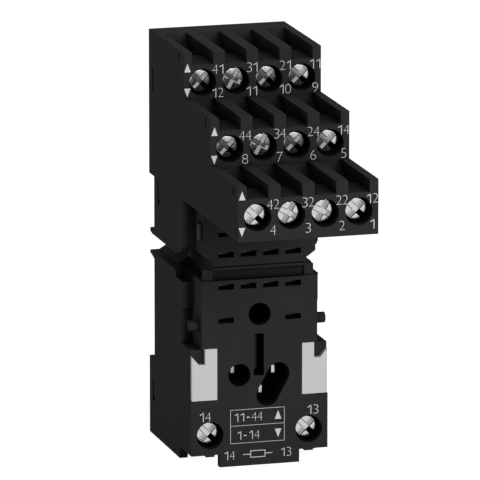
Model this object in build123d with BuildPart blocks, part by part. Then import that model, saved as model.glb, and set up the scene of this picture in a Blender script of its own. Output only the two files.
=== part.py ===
from build123d import *
from math import atan2, degrees
import os

os.makedirs("parts", exist_ok=True)

# Three-tier plug-in socket for a 14-pin miniature relay, clipped on a 35 mm rail.
# Millimetres, X to the right, Y to the back, Z up. The origin lies on the rail's front
# face, at mid-width and at the height of the rail's centre line.

# Body sizes
pitch = 6.5
side_margin = 0.5
rear_depth = 3.6
tower_foot = 17.4
block_foot = -31.4
wall_foot = -33.7
wall = 1.6
cover_wall = 1.5
seat_front = -26.3
wall_front = -18.1

# Rail and its recess in the back
rail_height = 35.0
rail_gauge = 1.0
rail_play_top = 0.1
rail_play_foot = 1.0

# Tiers, counted from the top one, with the height of the last above the tower's foot
tier_drop_1 = 8.9
tier_drop_2 = 9.05
tier_height = 10.45
tier_front_1 = -21.3
tier_step = 18.68

# Terminals
channel_width = 4.2
channel_depth = 2.4
channel_back = 19.2
floor_length = 9.0
axis_drop = 5.9
screw_hole_diameter = 5.3
head_set_back = 2.1
head_diameter = 4.1
head_height = 1.7
thread_diameter = 2.9
shank_hole_width = 3.3
shoulder = 1.45
cage_height = 5.0
cage_front_wall = 1.6
cage_back_wall = 0.8
cage_side_wall = 0.5
cage_travel = 4.0
wire_space = 4.2
strip_gauge = 0.8
strip_width = 3.0
coil_axis = -27.55

# Relay seat
pin_pitch = 4.4
row_a = 11.6
row_b = 7.5
row_c = 1.25
row_d = -5.25
slot_length = 3.1
slot_height = 1.1
seat_wall = 2.2
clamp_room = 2.1
upper_relief = 0.4
chamber_depth = 7.8
fork_set_back = 1.2
fork_room = 2.2
flank_depth = 5.9
flank_relief = 0.8
flank_step = -3.9
flank_round = 1.0
ledge = -10.8
waist_top = 6.0
waist_foot = 2.6
waist_depth = 4.3
waist_face = 3.0
waist_mouth = 1.4
waist_rim = 1.6
plate_cut = 2.6
plate_drop = 1.3
bump_height = 0.75
bump_depth = 1.8
groove_top = 4.6
groove_foot = 2.5
groove_depth = 1.4
groove_line = 0.3

# Holes for the plug-in module, the fixing hole and the key slot
module_diameter = 4.4
module_depth = 8.3
module_left = (-3.98, -16.1)
module_right = (3.74, -16.25)
module_low = (1.55, -20.3)
fixing_diameter = 4.4
fixing_height = -4.4
key_top = -8.2
key_foot = -16.4
key_left = -0.3
key_right = 0.87
key_bevel = 0.9
key_bevel_depth = 1.2
key_foot_height = 1.3

# Marking plates, foot tab, pivot pins and clamp lugs
label_width = 4.95
label_margin = 0.15
label_top = -10.6
label_foot = -20.6
label_gauge = 1.0
label_proud = 0.1
notch_foot = -13.6
notch_width = 2.6
notch_slope = 1.4
notch_rise = 1.65
slit_width = 0.7
slit_depth = 0.8
lip_height = 0.35
tab_half_width = 7.87
tab_foot = -33.9
tab_gauge = 1.5
pin_diameter = 2.1
pin_set_back = 2.2
pin_height = -6.35
lug_set_back = 0.6
lug_depth = 2.6
lug_reach = 0.0
lug_top = 13.5
lug_foot = 10.3

# Rail clip and its spring
hook_reach = 1.7
hook_half_width = 9.0
clip_half_width = 7.1
clip_neck = 6.0
clip_gauge = 2.3
clip_tail = 3.3
nose_reach = 2.7
clip_travel = 3.0
window_half = 3.0
spring_length = 6.0
stud_top = -28.0
stud_height = 1.6
spring_gauge = 0.3
land_rise = 0.2
land_play = 0.4

# Module contacts
blade_gauge = 0.6
blade_height = 1.4
blade_set_back = 5.0
blade_advance = 1.1

# Clearances
fit = 0.1
running = 0.05
axial = 0.05

# Sizes that follow
half = 2 * pitch + side_margin
inside = half - wall
seat_half_width = half - clamp_room
waist_half_width = half - waist_depth
flank_rear = seat_front + flank_depth
label_edge = half - label_margin
recess_top = rail_height / 2 + rail_play_top
recess_foot = -rail_height / 2 - rail_play_foot
window_top = stud_top + spring_length
clip_foot = stud_top - stud_height - fit - clip_tail
top_height = tower_foot + tier_height + tier_drop_2 + tier_drop_1
tier_top = [top_height, top_height - tier_drop_1, top_height - tier_drop_1 - tier_drop_2]
tier_front = [tier_front_1 - tier_step * i for i in range(3)]
columns = [pitch * (i - 1.5) for i in range(4)]
pin_columns = [pin_pitch * (i - 1.5) for i in range(4)]
tier_names = [["41", "31", "21", "11"], ["44", "34", "24", "14"], ["42", "32", "22", "12"]]

# Stations along a terminal, measured back from the front face in which its screw lies
head_seat = head_set_back + head_height + axial
pocket_front = head_seat + shoulder
cage_closed = pocket_front + fit
bar_front = cage_closed + cage_front_wall + cage_travel
cage_open = bar_front - cage_front_wall - 0.02
bar_back = bar_front + strip_gauge
wire_back = bar_back + wire_space
cage_length = wire_back - cage_open + cage_back_wall
pocket_width = wire_space + 2 * cage_side_wall + 2 * fit
pocket_top = -axis_drop + cage_height / 2 + fit
pocket_foot = -axis_drop - cage_height / 2 - fit
leg_drop = pocket_foot - 0.15
tube_foot = leg_drop - strip_gauge - 0.15
chamber_front = seat_front + chamber_depth
fork_front = seat_front + seat_wall + fork_set_back
plate_front = seat_front + 11.3
lower_front = seat_front + module_depth + 1.5
upper_top = tier_top[0] + pocket_foot - 1.15
coil_top = coil_axis + cage_height / 2 + fit
coil_foot = coil_axis - cage_height / 2 - fit
module_span = Vector(*module_right) - Vector(*module_low)
module_angle = degrees(atan2(module_span.Y, module_span.X))


def level(y):
    return Plane.XZ.offset(-y)


def channel_outline(depth_back, lip):
    # Wire channel and entry of one terminal, as stations back from the front and heights below the tier
    return [
        (-1, 1),
        (-1, -channel_depth),
        (floor_length, -channel_depth),
        (bar_back - 0.6, pocket_top - 0.1),
        (wire_back, pocket_top - 0.1),
        (depth_back, lip),
        (depth_back, 1),
    ]


# Main moulding
with BuildPart() as housing:
    with BuildSketch(Plane.YZ):
        with BuildLine():
            Polyline(
                (rear_depth, top_height),
                (tier_front[0], top_height),
                (tier_front[0], tier_top[1]),
                (tier_front[1], tier_top[1]),
                (tier_front[1], tier_top[2]),
                (tier_front[2], tier_top[2]),
                (tier_front[2], tower_foot),
                (seat_front, tower_foot),
                (seat_front, block_foot),
                (wall_front, block_foot),
                (wall_front, wall_foot),
                (rear_depth, wall_foot),
                (rear_depth, recess_foot),
                (0, recess_foot),
                (0, recess_top),
                (rear_depth, recess_top),
                close=True,
            )
        make_face()
    extrude(amount=half, both=True)

    # Rooms for the hold-down clamp on both flanks of the relay seat
    for side in (-1, 1):
        with BuildSketch(Plane.YZ.offset(side * seat_half_width)):
            with BuildLine():
                Polyline(
                    (seat_front - 1, tower_foot),
                    (flank_rear, tower_foot),
                    (flank_rear, flank_step),
                    (flank_rear + flank_relief, flank_step),
                    (flank_rear + flank_relief, ledge),
                    (seat_front - 1, ledge),
                    close=True,
                )
            make_face()
        extrude(amount=side * (half - seat_half_width + 1), mode=Mode.SUBTRACT)
    for rear, foot, top in ((flank_rear, flank_step, tower_foot), (flank_rear + flank_relief, ledge, flank_step)):
        with BuildSketch(Plane.XY.offset(foot)):
            for side in (-1, 1):
                with Locations((side * (half - flank_round / 2 + 0.5), rear + flank_round / 2 - 0.5)):
                    Rectangle(flank_round + 1, flank_round + 1)
                with Locations((side * (half - flank_round), rear + flank_round)):
                    Circle(flank_round, mode=Mode.SUBTRACT)
        extrude(amount=top - foot, mode=Mode.SUBTRACT)

    # The seat's upper half is a little narrower than its lower half
    with BuildSketch(Plane.XY.offset(waist_foot + 1)):
        with GridLocations(2 * half - clamp_room - upper_relief + 1, 0, 2, 1):
            with Locations((0, (flank_rear + seat_front - 1) / 2)):
                Rectangle(clamp_room + upper_relief + 1, flank_depth + 1)
    extrude(amount=tower_foot - waist_foot - 1, mode=Mode.SUBTRACT)

    # Room under the terminals, between the side walls
    with BuildSketch(Plane.XY.offset(wall_foot - 1)):
        with Locations((0, (wall_front - 1 + rear_depth + 1) / 2)):
            Rectangle(2 * inside, rear_depth + 1 - wall_front + 1)
    extrude(amount=block_foot - wall_foot + 1, mode=Mode.SUBTRACT)

    # Waist between the upper and the lower half, open at both sides
    with BuildSketch(level(rear_depth + 1)):
        with GridLocations(waist_half_width + half, 0, 2, 1):
            with Locations((0, (waist_top + waist_foot) / 2)):
                Rectangle(half - waist_half_width, waist_top - waist_foot)
    extrude(amount=rear_depth + 1 - seat_front + 1, mode=Mode.SUBTRACT)
    with BuildSketch(level(flank_rear)):
        with GridLocations(waist_half_width + half, 0, 2, 1):
            with Locations((0, (waist_top + waist_foot + waist_mouth) / 2)):
                Rectangle(half - waist_half_width, waist_top - waist_foot + waist_mouth)
    extrude(amount=flank_depth - waist_face, mode=Mode.SUBTRACT)
    for side in (-1, 1):
        with BuildSketch(level(seat_front + waist_face)):
            with BuildLine():
                Polyline(
                    (side * (seat_half_width + 0.1), waist_top + waist_rim + 0.1),
                    (side * waist_half_width, waist_top + 0.1),
                    (side * (waist_half_width + 1.1), waist_top - 0.95),
                    (side * (waist_half_width + 1.1), waist_foot + 1.5),
                    (side * (seat_half_width + 0.1), waist_foot + 0.2),
                    close=True,
                )
            make_face()
        extrude(amount=waist_face + 1, mode=Mode.SUBTRACT)
        with BuildSketch(Plane.YZ.offset(side * inside)):
            with BuildLine():
                Polyline(
                    (plate_front, waist_top - 0.1),
                    (plate_front - 3.6, waist_top + 0.7),
                    (flank_rear - 0.1, waist_top + plate_cut),
                    (flank_rear - 0.1, waist_top - 0.1),
                    close=True,
                )
            make_face()
            with BuildLine():
                Polyline(
                    (plate_front, waist_foot + 0.1),
                    (plate_front - 0.5, waist_foot - plate_drop),
                    (flank_rear - 0.1, waist_foot - plate_drop),
                    (flank_rear - 0.1, waist_foot + 0.1),
                    close=True,
                )
            make_face()
        extrude(amount=side * (wall + 1), mode=Mode.SUBTRACT)

        # Short feet beside the waist that centre the socket in the rail
        with BuildSketch(Plane.YZ.offset(side * inside)):
            with BuildLine():
                Polyline(
                    (-0.5, waist_top),
                    (bump_depth, waist_top),
                    (bump_depth, waist_top + bump_height),
                    (0, waist_top + bump_height),
                    (-0.5, waist_top + bump_height + 0.5),
                    close=True,
                )
            make_face()
            with BuildLine():
                Polyline(
                    (-0.5, waist_foot),
                    (bump_depth, waist_foot),
                    (bump_depth, waist_foot - bump_height),
                    (0, waist_foot - bump_height - 0.5),
                    (-0.5, waist_foot - bump_height - 0.5),
                    close=True,
                )
            make_face()
        extrude(amount=side * wall)
    with BuildSketch(level(seat_front + groove_depth)):
        with Locations((0, (groove_top + groove_foot) / 2)):
            Rectangle(2 * seat_half_width + 1, groove_top - groove_foot)
    extrude(amount=groove_depth + 1, mode=Mode.SUBTRACT)
    with BuildSketch(level(seat_front + groove_line)):
        with Locations((0, groove_top + 2 * groove_line)):
            Rectangle(2 * seat_half_width + 1, groove_line)
    extrude(amount=groove_line + 1, mode=Mode.SUBTRACT)

    # Seat of the back cover
    with BuildSketch(Plane.YZ):
        with BuildLine():
            Polyline(
                (rear_depth + 1, top_height - cover_wall),
                (rear_depth - cover_wall, top_height - cover_wall),
                (rear_depth - cover_wall, recess_top + cover_wall),
                (-cover_wall, recess_top + cover_wall),
                (-cover_wall, wall_foot - 1),
                (rear_depth + 1, wall_foot - 1),
                close=True,
            )
        make_face()
    extrude(amount=inside, both=True, mode=Mode.SUBTRACT)

    # Inner rooms behind the seat, above the waist, in it and below it
    with BuildSketch(level(-cover_wall)):
        with Locations((0, (upper_top + waist_top + wall) / 2)):
            Rectangle(2 * inside, upper_top - waist_top - wall)
        with Locations((0, (waist_top + waist_foot) / 2)):
            Rectangle(2 * (waist_half_width - 1), waist_top - waist_foot + 2 * wall + 1)
    extrude(amount=-cover_wall - chamber_front, mode=Mode.SUBTRACT)
    with BuildSketch(level(rear_depth - cover_wall)):
        with Locations((0, (upper_top + recess_top + cover_wall) / 2)):
            Rectangle(2 * inside, upper_top - recess_top - cover_wall)
    extrude(amount=rear_depth, mode=Mode.SUBTRACT)
    with BuildSketch(level(-cover_wall)):
        with Locations((0, (waist_foot - wall + coil_top + 1) / 2)):
            Rectangle(2 * inside, waist_foot - wall - coil_top - 1)
    extrude(amount=-cover_wall - lower_front, mode=Mode.SUBTRACT)

    # Channels, clamp pockets and screw holes of the three tiers
    for i in range(3):
        tunnel_back = rear_depth - cover_wall if i == 0 else chamber_front
        tunnel_foot = pocket_foot if i == 0 else tube_foot
        depth_back = channel_back if i == 0 else tier_step
        for x in columns:
            with BuildSketch(Plane.YZ.offset(x)):
                with BuildLine():
                    Polyline(
                        *[
                            (tier_front[i] + d, tier_top[i] + h)
                            for d, h in channel_outline(depth_back, 0 if i == 0 else -0.6)
                        ],
                        close=True,
                    )
                make_face()
            extrude(amount=channel_width / 2, both=True, mode=Mode.SUBTRACT)
        with BuildSketch(level(tunnel_back)):
            with Locations((0, tier_top[i] + (pocket_top + tunnel_foot) / 2)):
                with GridLocations(pitch, 0, 4, 1):
                    Rectangle(pocket_width, pocket_top - tunnel_foot)
        extrude(amount=tunnel_back - tier_front[i] - pocket_front, mode=Mode.SUBTRACT)
        with BuildSketch(level(tier_front[i] + head_seat)):
            with Locations((0, tier_top[i] - axis_drop)):
                with GridLocations(pitch, 0, 4, 1):
                    Circle(screw_hole_diameter / 2)
        extrude(amount=head_seat + 1, mode=Mode.SUBTRACT)
        with BuildSketch(level(tier_front[i] + pocket_front + 0.1)):
            with Locations((0, tier_top[i] - axis_drop)):
                with GridLocations(pitch, 0, 4, 1):
                    Rectangle(shank_hole_width, shank_hole_width)
        extrude(amount=shoulder + 0.2, mode=Mode.SUBTRACT)
    with BuildSketch(Plane.XY.offset(upper_top - 0.5)):
        with Locations((0, tier_front[0] + bar_front + strip_gauge / 2)):
            with GridLocations(pitch, 0, 4, 1):
                Rectangle(strip_width + 2 * fit, strip_gauge + 4 * fit)
    extrude(amount=tier_top[0] + pocket_foot - upper_top + 1, mode=Mode.SUBTRACT)

    # The two coil terminals at the foot, whose wires come from below
    with BuildSketch(level(seat_front + wire_back + cage_back_wall + 2 * fit)):
        with Locations((0, coil_axis)):
            with GridLocations(3 * pitch, 0, 2, 1):
                Rectangle(pocket_width, cage_height + 2 * fit)
    extrude(amount=wire_back + cage_back_wall + 2 * fit - pocket_front, mode=Mode.SUBTRACT)
    with BuildSketch(level(seat_front + head_seat)):
        with Locations((0, coil_axis)):
            with GridLocations(3 * pitch, 0, 2, 1):
                Circle(screw_hole_diameter / 2)
    extrude(amount=head_seat + 1, mode=Mode.SUBTRACT)
    with BuildSketch(level(seat_front + pocket_front + 0.1)):
        with Locations((0, coil_axis)):
            with GridLocations(3 * pitch, 0, 2, 1):
                Rectangle(shank_hole_width, shank_hole_width)
    extrude(amount=shoulder + 0.2, mode=Mode.SUBTRACT)
    with BuildSketch(Plane.XY.offset(block_foot - 1)):
        with Locations((0, seat_front + (bar_back + wire_back) / 2)):
            with GridLocations(3 * pitch, 0, 2, 1):
                Rectangle(channel_width, wire_space)
    extrude(amount=coil_foot + 0.1 - block_foot + 1, mode=Mode.SUBTRACT)
    with BuildSketch(Plane.XY.offset(coil_top - 0.5)):
        with Locations((0, seat_front + bar_front + strip_gauge / 2)):
            with GridLocations(3 * pitch, 0, 2, 1):
                Rectangle(strip_width + 2 * fit, strip_gauge + 4 * fit)
    extrude(amount=2, mode=Mode.SUBTRACT)

    # Relay pin slots and the contact rooms behind them
    with BuildSketch(level(seat_front + seat_wall + 0.1)):
        for row in (row_a, row_b, row_c):
            with Locations((0, row)):
                with GridLocations(pin_pitch, 0, 4, 1):
                    Rectangle(slot_length, slot_height)
        with Locations((0, row_d)):
            with GridLocations(3 * pin_pitch, 0, 2, 1):
                Rectangle(slot_length, slot_height)
    extrude(amount=seat_wall + 1, mode=Mode.SUBTRACT)
    with BuildSketch(level(chamber_front + 0.1)):
        with Locations((0, (row_a + row_c) / 2)):
            with GridLocations(pin_pitch, 0, 4, 1):
                Rectangle(slot_length + 0.3, row_a - row_c + 4.4)
    extrude(amount=chamber_front + 0.1 - seat_front - seat_wall, mode=Mode.SUBTRACT)
    with BuildSketch(level(lower_front + 0.1)):
        with Locations((0, row_d)):
            with GridLocations(3 * pin_pitch, 0, 2, 1):
                Rectangle(slot_length + 0.3, 4.4)
    extrude(amount=lower_front + 0.1 - seat_front - seat_wall, mode=Mode.SUBTRACT)

    # Fixing hole, key slot and the holes of the plug-in module
    with BuildSketch(level(seat_front + module_depth)):
        with Locations((0, fixing_height)):
            Circle(fixing_diameter / 2)
        with Locations(((key_left + key_right) / 2, (key_top + key_foot) / 2)):
            Rectangle(key_right - key_left, key_top - key_foot)
        with Locations(((key_left - key_bevel + key_right) / 2, key_foot + key_foot_height / 2)):
            Rectangle(key_right - key_left + key_bevel, key_foot_height)
        with Locations(module_left):
            Circle(module_diameter / 2)
        with Locations((Vector(*module_right) + Vector(*module_low)) / 2):
            SlotCenterToCenter(module_span.length, module_diameter, rotation=module_angle)
    extrude(amount=module_depth + 1, mode=Mode.SUBTRACT)

    # Sloped side of the key slot
    with BuildSketch(Plane.XY.offset(key_foot)):
        with BuildLine():
            Polyline(
                (key_left - key_bevel, seat_front),
                (key_left - key_bevel, seat_front - 1),
                (key_left + 0.1, seat_front - 1),
                (key_left + 0.1, seat_front + key_bevel_depth),
                close=True,
            )
        make_face()
    extrude(amount=key_top - key_foot, mode=Mode.SUBTRACT)

    # Slits through which the module contacts reach their holes
    with BuildSketch(level(lower_front + 0.1)):
        for place in (module_left, module_right, module_low):
            with Locations(place):
                Rectangle(blade_gauge + 2 * fit, blade_height + 2 * fit)
    extrude(amount=lower_front - seat_front - module_depth + 0.2, mode=Mode.SUBTRACT)

    # Beds of the marking plates
    with BuildSketch(level(seat_front + label_gauge - label_proud)):
        for side in (-1, 1):
            with Locations((side * (half + label_edge - label_width - fit + 1) / 2, (label_top + label_foot) / 2)):
                Rectangle(half - label_edge + label_width + fit + 1, label_top - label_foot + 2 * fit)
    extrude(amount=label_gauge + 1, mode=Mode.SUBTRACT)

    # Narrow slits in both side faces, the rear ones with a short bent foot
    for side in (-1, 1):
        with BuildSketch(Plane.YZ.offset(side * (half - slit_depth))):
            for i in range(3):
                with Locations((tier_front[i] + 3.35, tier_top[i] - 1.3)):
                    Rectangle(slit_width, 1.8)
            with Locations((tier_front[0] + 22.1, tier_top[0] - 9.4)):
                Rectangle(slit_width, 4.4)
            with Locations((tier_front[0] + 18.4, tower_foot - 1.9)):
                Rectangle(slit_width, 3.8)
            with Locations((tier_front[0] + 18.1, tower_foot - 4.1)):
                Rectangle(1.4, slit_width)
            with Locations((seat_front + 27.3, wall_foot + 9.0)):
                Rectangle(slit_width, 3.9)
            with Locations((seat_front + 26.9, wall_foot + 7.2)):
                Rectangle(1.4, slit_width)
        extrude(amount=side * (slit_depth + 1), mode=Mode.SUBTRACT)

    # Lips under the front, the foot tab, pivot pins and lugs for the hold-down clamp
    with BuildSketch(level(seat_front + tab_gauge)):
        with GridLocations(2 * half - 7.5, 0, 2, 1):
            with Locations((0, block_foot)):
                Rectangle(1.7, 2 * lip_height)
    extrude(amount=tab_gauge)
    with BuildSketch(level(seat_front + tab_gauge)):
        with Locations((0, (tab_foot + block_foot + 1) / 2)):
            Rectangle(2 * tab_half_width, block_foot + 1 - tab_foot)
    extrude(amount=tab_gauge)
    for side in (-1, 1):
        with BuildSketch(Plane.YZ.offset(side * (seat_half_width - 0.5))):
            with Locations((seat_front + pin_set_back, pin_height)):
                Circle(pin_diameter / 2)
        extrude(amount=side * (clamp_room + 0.4))
        with BuildSketch(Plane.YZ.offset(side * (seat_half_width - upper_relief - 0.5))):
            with Locations((seat_front + lug_set_back + lug_depth / 2, (lug_top + lug_foot) / 2)):
                Rectangle(lug_depth, lug_top - lug_foot)
        extrude(amount=side * (lug_reach + upper_relief + 0.5))
housing.part.label = "housing"
export_step(housing.part, "parts/housing.step")


# Back cover with the fixed rail hooks and the runners of the clip
with BuildPart() as rear_cover:
    with BuildSketch(Plane.YZ):
        with BuildLine():
            Polyline(
                (rear_depth, top_height - cover_wall - fit),
                (rear_depth - cover_wall + fit, top_height - cover_wall - fit),
                (rear_depth - cover_wall + fit, recess_top + cover_wall - fit),
                (-cover_wall + fit, recess_top + cover_wall - fit),
                (-cover_wall + fit, block_foot),
                (-land_rise, block_foot),
                (-land_rise, recess_foot + nose_reach + land_play),
                (0, recess_foot + nose_reach + land_play),
                (0, recess_top - hook_reach - land_play),
                (-land_rise, recess_top - hook_reach - land_play),
                (-land_rise, recess_top),
                (rear_depth, recess_top),
                close=True,
            )
        make_face()
    extrude(amount=inside - fit, both=True)
    with BuildSketch(level(rear_depth + 1)):
        with GridLocations(waist_half_width + half, 0, 2, 1):
            with Locations((0, (waist_top + waist_foot) / 2)):
                Rectangle(half - waist_half_width, waist_top - waist_foot)
    extrude(amount=rear_depth + 1 + cover_wall + 1, mode=Mode.SUBTRACT)

    # Fixed hook that grips the rail's upper edge from behind
    with BuildSketch(Plane.YZ):
        with BuildLine():
            Polyline(
                (rear_depth, recess_top + 0.5),
                (rail_gauge + fit, recess_top + 0.5),
                (rail_gauge + fit, recess_top - hook_reach + 0.5),
                (rail_gauge + fit + 0.5, recess_top - hook_reach),
                (rear_depth - 0.8, recess_top - hook_reach),
                (rear_depth, recess_top - hook_reach + 1),
                close=True,
            )
        make_face()
    extrude(amount=hook_half_width, both=True)

    # Runners around the clip, and the stud that carries its spring
    with BuildSketch(Plane.XY.offset(block_foot)):
        for side in (-1, 1):
            with BuildLine():
                Polyline(
                    (side * (clip_half_width + fit), -0.5),
                    (side * (clip_half_width + fit), clip_gauge + 2 * fit),
                    (side * (clip_neck + fit), clip_gauge + 2 * fit),
                    (side * (clip_neck + fit), rear_depth),
                    (side * (clip_half_width + wall), rear_depth),
                    (side * (clip_half_width + wall), -0.5),
                    close=True,
                )
            make_face()
    extrude(amount=recess_foot - block_foot - 0.2)
    with BuildSketch(level(clip_gauge - 0.2)):
        with Locations((0, stud_top - stud_height / 2)):
            Rectangle(2 * (window_half - fit), stud_height)
    extrude(amount=clip_gauge)
rear_cover.part.label = "rear_cover"
export_step(rear_cover.part, "parts/rear_cover.step")


# Sprung clip that grips the rail's lower edge
rail_foot = recess_top - rail_play_top - rail_height
with BuildPart() as rail_clip:
    with BuildSketch(level(clip_gauge + fit)):
        with Locations((0, (recess_foot + clip_foot) / 2)):
            Rectangle(2 * clip_half_width, recess_foot - clip_foot)
    extrude(amount=clip_gauge)
    with BuildSketch(Plane.YZ):
        with BuildLine():
            Polyline(
                (clip_gauge - 0.5, clip_foot),
                (rear_depth - fit, clip_foot),
                (rear_depth - fit, recess_foot + 1.2),
                (rail_gauge + 2 * fit, recess_foot + nose_reach),
                (rail_gauge + 2 * fit, recess_foot - 0.5),
                (clip_gauge - 0.5, recess_foot - 0.5),
                close=True,
            )
        make_face()
    extrude(amount=clip_neck, both=True)
    with BuildSketch(level(rear_depth + 1)):
        with Locations((0, (window_top + stud_top - stud_height - fit) / 2)):
            Rectangle(2 * window_half, window_top - stud_top + stud_height + fit)
        with Locations((0, clip_foot + 1.3)):
            Rectangle(4.5, 0.9)
    extrude(amount=rear_depth + 1, mode=Mode.SUBTRACT)
rail_clip.part.label = "rail_clip"
export_step(rail_clip.part, "parts/rail_clip.step")


# Zigzag leaf spring between the stud and the clip
spring_legs = 3
spring_pitch = (window_top - stud_top - spring_gauge - 0.04) / (spring_legs - 1)
with BuildPart() as clip_spring:
    with BuildSketch(level(clip_gauge - 0.3)):
        with BuildLine() as zigzag:
            FilletPolyline(
                *[
                    (side * (window_half - 0.6), stud_top + spring_gauge / 2 + 0.02 + spring_pitch * n)
                    for n in range(spring_legs)
                    for side in ((-1, 1) if n % 2 == 0 else (1, -1))
                ],
                radius=spring_pitch * 0.3,
            )
        trace(line_width=spring_gauge)
    extrude(amount=clip_gauge - 0.6)
clip_spring.part.label = "clip_spring"
export_step(clip_spring.part, "parts/clip_spring.step")


# Marking plates, cut out at the top for the hold-down clamp's pivot
for side, name in ((-1, "label_left"), (1, "label_right")):
    with BuildPart() as label_plate:
        with BuildSketch(level(seat_front + label_gauge - label_proud)):
            with BuildLine():
                Polyline(
                    (side * (label_edge - label_width), label_top),
                    (side * (label_edge - notch_width), label_top),
                    (side * (label_edge - notch_width), notch_foot),
                    (side * (label_edge - notch_slope), notch_foot),
                    (side * label_edge, notch_foot + notch_rise),
                    (side * label_edge, label_foot),
                    (side * (label_edge - label_width), label_foot),
                    close=True,
                )
            make_face()
        extrude(amount=label_gauge)
    label_plate.part.label = name
    export_step(label_plate.part, "parts/" + name + ".step")


# Clamp screws: name, x, front face and height of the axis
tier_terminals = [
    (tier_names[i][j], columns[j], tier_front[i], tier_top[i] - axis_drop) for i in range(3) for j in range(4)
]
coil_terminals = [("a2", columns[0], seat_front, coil_axis), ("a1", columns[3], seat_front, coil_axis)]
for name, x, front, height in tier_terminals + coil_terminals:
    with BuildPart() as screw:
        with BuildSketch(level(front + head_set_back + head_height)):
            with Locations((x, height)):
                Circle(head_diameter / 2)
        extrude(amount=head_height)
        with BuildSketch(level(front + bar_front - axial)):
            with Locations((x, height)):
                Circle(thread_diameter / 2)
        extrude(amount=bar_front - axial - head_set_back - head_height)
        with BuildSketch(level(front + head_set_back + 0.9)):
            with Locations((x, height)):
                Rectangle(head_diameter + 1, 0.8)
        extrude(amount=2, mode=Mode.SUBTRACT)
    screw.part.label = "screw_" + name
    export_step(screw.part, "parts/screw_" + name + ".step")

    # Cage that the screw draws towards its head, shown open
    with BuildPart() as cage:
        with BuildSketch(Plane.XY.offset(height - cage_height / 2)):
            with Locations((x, front + cage_open + cage_length / 2)):
                Rectangle(wire_space + 2 * cage_side_wall, cage_length)
            with Locations((x, front + cage_open + cage_front_wall + (cage_length - cage_front_wall - cage_back_wall) / 2)):
                Rectangle(wire_space, cage_length - cage_front_wall - cage_back_wall, mode=Mode.SUBTRACT)
        extrude(amount=cage_height)
        with BuildSketch(level(front + cage_open + cage_front_wall + 0.5)):
            with Locations((x, height)):
                Circle(thread_diameter / 2 + running)
        extrude(amount=cage_front_wall + 1, mode=Mode.SUBTRACT)
    cage.part.label = "cage_" + name
    export_step(cage.part, "parts/cage_" + name + ".step")


# Contact strips of the twelve switching terminals, each ending in a fork behind its pin slot
fork_gap = 0.3
fork_gauge = 0.4
leg_stations = [chamber_front + 9.0, chamber_front + 5.3, chamber_front + 1.9]
rows = [row_c, row_b, row_a]
for i in range(3):
    for j in range(4):
        tongue_front = tier_front[i] + bar_front
        tongue_top = tier_top[i] + pocket_top - 0.3
        leg_top = tier_top[i] + leg_drop if i else tongue_top
        leg_back = tongue_front + strip_gauge if i == 0 else leg_stations[i]
        jog_top = min(leg_top - 1.0, upper_top - 1.5)
        jog_foot = max(rows[i] + fork_room, waist_top + wall + 2)
        with BuildPart() as strip:
            if i:
                with BuildSketch(Plane.YZ.offset(columns[j])):
                    with Locations((tongue_front + strip_gauge / 2, (tongue_top + leg_top - strip_gauge) / 2)):
                        Rectangle(strip_gauge, tongue_top - leg_top + strip_gauge)
                    with Locations(((tongue_front + leg_back) / 2, leg_top - strip_gauge / 2)):
                        Rectangle(leg_back - tongue_front, strip_gauge)
                extrude(amount=strip_width / 2, both=True)
            with BuildSketch(level(leg_back)):
                with BuildLine():
                    Polyline(
                        (columns[j] - strip_width / 2, leg_top),
                        (columns[j] + strip_width / 2, leg_top),
                        (columns[j] + strip_width / 2, jog_top),
                        (pin_columns[j] + strip_width / 2, jog_foot),
                        (pin_columns[j] + strip_width / 2, rows[i] - fork_gap / 2 - fork_gauge),
                        (pin_columns[j] - strip_width / 2, rows[i] - fork_gap / 2 - fork_gauge),
                        (pin_columns[j] - strip_width / 2, jog_foot),
                        (columns[j] - strip_width / 2, jog_top),
                        close=True,
                    )
                make_face()
            extrude(amount=strip_gauge)
            with BuildSketch(Plane.YZ.offset(pin_columns[j])):
                for up in (-1, 1):
                    with Locations(((leg_back + fork_front) / 2, rows[i] + up * (fork_gap + fork_gauge) / 2)):
                        Rectangle(leg_back - fork_front, fork_gauge)
            extrude(amount=strip_width / 2, both=True)
        strip.part.label = "strip_" + tier_names[i][j]
        export_step(strip.part, "parts/strip_" + tier_names[i][j] + ".step")


# Coil strips, each with a fork at the seat and a blade in a module hole
for name, side, module, advance in (("a2", -1, module_left, 0), ("a1", 1, module_right, blade_advance)):
    tongue_front = seat_front + bar_front
    x_terminal = side * 1.5 * pitch
    x_pin = side * 1.5 * pin_pitch
    tongue_foot = coil_foot + 0.4
    with BuildPart() as strip:
        with BuildSketch(level(tongue_front + strip_gauge)):
            with BuildLine():
                Polyline(
                    (x_terminal - strip_width / 2, tongue_foot),
                    (x_terminal + strip_width / 2, tongue_foot),
                    (x_terminal + strip_width / 2, module[1] + 2.1),
                    (x_pin + strip_width / 2, row_d - fork_room),
                    (x_pin + strip_width / 2, row_d + fork_gap / 2 + fork_gauge),
                    (x_pin - strip_width / 2, row_d + fork_gap / 2 + fork_gauge),
                    (x_pin - strip_width / 2, row_d - fork_room),
                    (x_terminal - strip_width / 2, module[1] + 2.1),
                    close=True,
                )
            make_face()
            with Locations(((x_terminal + module[0]) / 2, module[1])):
                Rectangle(abs(x_terminal - module[0]) + blade_gauge, blade_height)
        extrude(amount=strip_gauge)
        with BuildSketch(level(tongue_front + strip_gauge)):
            with Locations(module):
                Rectangle(blade_gauge, blade_height)
        extrude(amount=bar_front + strip_gauge - blade_set_back + advance)
        with BuildSketch(Plane.YZ.offset(x_pin)):
            for up in (-1, 1):
                with Locations(((tongue_front + fork_front) / 2, row_d + up * (fork_gap + fork_gauge) / 2)):
                    Rectangle(tongue_front - fork_front, fork_gauge)
        extrude(amount=strip_width / 2, both=True)
    strip.part.label = "strip_" + name
    export_step(strip.part, "parts/strip_" + name + ".step")

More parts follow.
